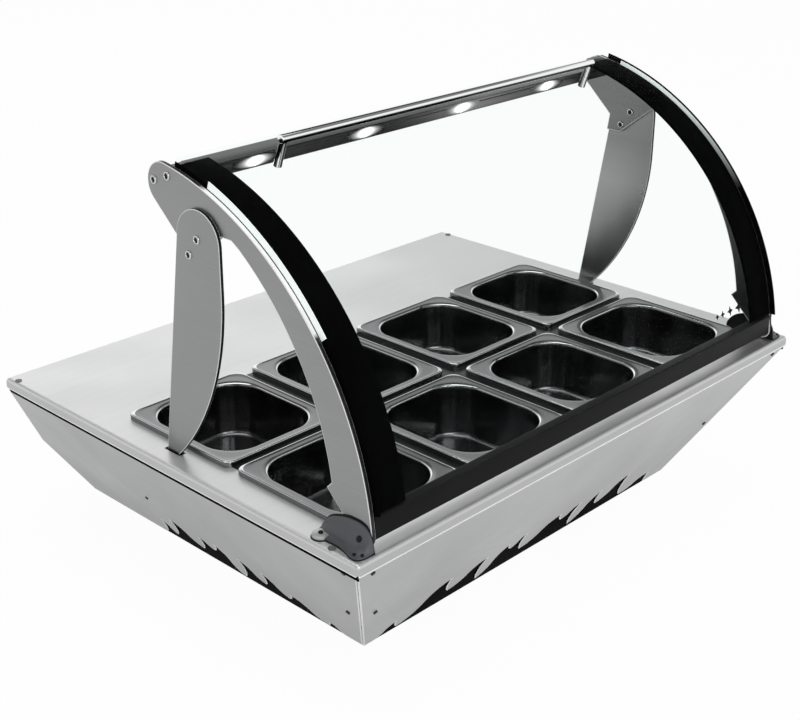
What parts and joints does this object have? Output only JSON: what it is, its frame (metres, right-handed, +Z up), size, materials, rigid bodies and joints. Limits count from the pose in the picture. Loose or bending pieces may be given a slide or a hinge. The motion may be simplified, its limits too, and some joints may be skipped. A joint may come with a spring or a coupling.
{
  "type": "topping display case",
  "caption": "Countertop chilled topping display case with a tapered steel base, gastronorm pans and a curved glass canopy that tips forward on front hinges.",
  "frame": {"origin": "on the supporting surface under the centre of the case", "axes": "+Z up, -Y towards the customer side with the glass, +X along the front to the right"},
  "size_m": [0.78, 0.648, 0.5529],
  "materials": {
    "stainless": "satin",
    "arm_steel": "satin",
    "black_steel": "semi-gloss",
    "hinge_casting": "satin",
    "bright_chrome": "polished",
    "clear_glass": "clear",
    "lamp_lens": "frosted",
    "black_rubber": "matt",
    "foam": "matt",
    "copper": "satin",
    "black_plastic": "matt"
  },
  "bodies": {
    "case": {"base_tray": "black_steel", "bracket_screws": "stainless", "compressor": "black_steel", "compressor_mounts": "black_rubber", "condenser": "stainless", "cross_dividers": "stainless", "deck_plate": "black_steel", "deck_supports": "black_steel", "evaporator_coil": "copper", "fan_motor": "black_steel", "fan_shroud": "black_plastic", "feet": "black_rubber", "front_panel": "stainless", "hinge_pins": "stainless", "hot_gas_pipe": "copper", "insulation": "foam", "lamp_driver": "black_plastic", "left_hinge_bracket": "hinge_casting", "left_side_panel": "stainless", "liquid_pipe": "copper", "post_sockets": "stainless", "power_inlet": "black_plastic", "power_switch": "black_plastic", "rear_cover": "stainless", "right_hinge_bracket": "hinge_casting", "right_side_panel": "stainless", "row_divider": "stainless", "shell_screws": "stainless", "suction_pipe": "copper", "thermostat_body": "black_plastic", "upper_frame": "black_steel", "well_tub": "stainless", "worktop": "stainless", "worktop_plugs": "stainless"},
    "canopy": {"left_arm": "arm_steel", "right_arm": "arm_steel", "left_post": "arm_steel", "right_post": "arm_steel", "post_bolts": "stainless", "hinge_bushes": "black_plastic", "glass_pane": "clear_glass", "glass_bands": "black_steel", "front_rail": "black_steel", "top_rail": "black_steel", "lamp_lenses": "lamp_lens", "rail_bolts": "stainless", "handle_bar": "bright_chrome", "handle_posts": "bright_chrome"},
    "front_pan_1": {"front_pan_1": "stainless"},
    "front_pan_2": {"front_pan_2": "stainless"},
    "front_pan_3": {"front_pan_3": "stainless"},
    "front_pan_4": {"front_pan_4": "stainless"},
    "rear_pan_1": {"rear_pan_1": "stainless"},
    "rear_pan_2": {"rear_pan_2": "stainless"},
    "rear_pan_3": {"rear_pan_3": "stainless"},
    "rear_pan_4": {"rear_pan_4": "stainless"},
    "fan_rotor": {"fan_rotor": "black_plastic"},
    "thermostat_knob": {"thermostat_knob": "black_plastic"},
    "power_rocker": {"power_rocker": "black_plastic"}
  },
  "joints": [
    {"name": "canopy_tilt", "type": "hinge", "parent": "case", "child": "canopy", "pos_m": [0, -0.30364, 0.218], "axis": [1, 0, 0], "range_deg": [0, 70]},
    {"name": "front_pan_1_lift", "type": "slide", "parent": "case", "child": "front_pan_1", "axis": [0, 0, 1], "range_m": [0, 0.075]},
    {"name": "front_pan_2_lift", "type": "slide", "parent": "case", "child": "front_pan_2", "axis": [0, 0, 1], "range_m": [0, 0.075]},
    {"name": "front_pan_3_lift", "type": "slide", "parent": "case", "child": "front_pan_3", "axis": [0, 0, 1], "range_m": [0, 0.075]},
    {"name": "front_pan_4_lift", "type": "slide", "parent": "case", "child": "front_pan_4", "axis": [0, 0, 1], "range_m": [0, 0.075]},
    {"name": "rear_pan_1_lift", "type": "slide", "parent": "case", "child": "rear_pan_1", "axis": [0, 0, 1], "range_m": [0, 0.075]},
    {"name": "rear_pan_2_lift", "type": "slide", "parent": "case", "child": "rear_pan_2", "axis": [0, 0, 1], "range_m": [0, 0.075]},
    {"name": "rear_pan_3_lift", "type": "slide", "parent": "case", "child": "rear_pan_3", "axis": [0, 0, 1], "range_m": [0, 0.075]},
    {"name": "rear_pan_4_lift", "type": "slide", "parent": "case", "child": "rear_pan_4", "axis": [0, 0, 1], "range_m": [0, 0.075]},
    {"name": "fan_spin", "type": "hinge", "parent": "case", "child": "fan_rotor", "pos_m": [0.15, 0.22, 0.0735], "axis": [0, 1, 0], "continuous": true},
    {"name": "thermostat_turn", "type": "hinge", "parent": "case", "child": "thermostat_knob", "pos_m": [-0.232, 0.29932, 0.143], "axis": [0, 0.927, 0.375], "range_deg": [0, 270]},
    {"name": "power_rock", "type": "hinge", "parent": "case", "child": "power_rocker", "pos_m": [-0.165, 0.29608, 0.14169], "axis": [1, 0, 0], "range_deg": [-14, 0]}
  ]
}
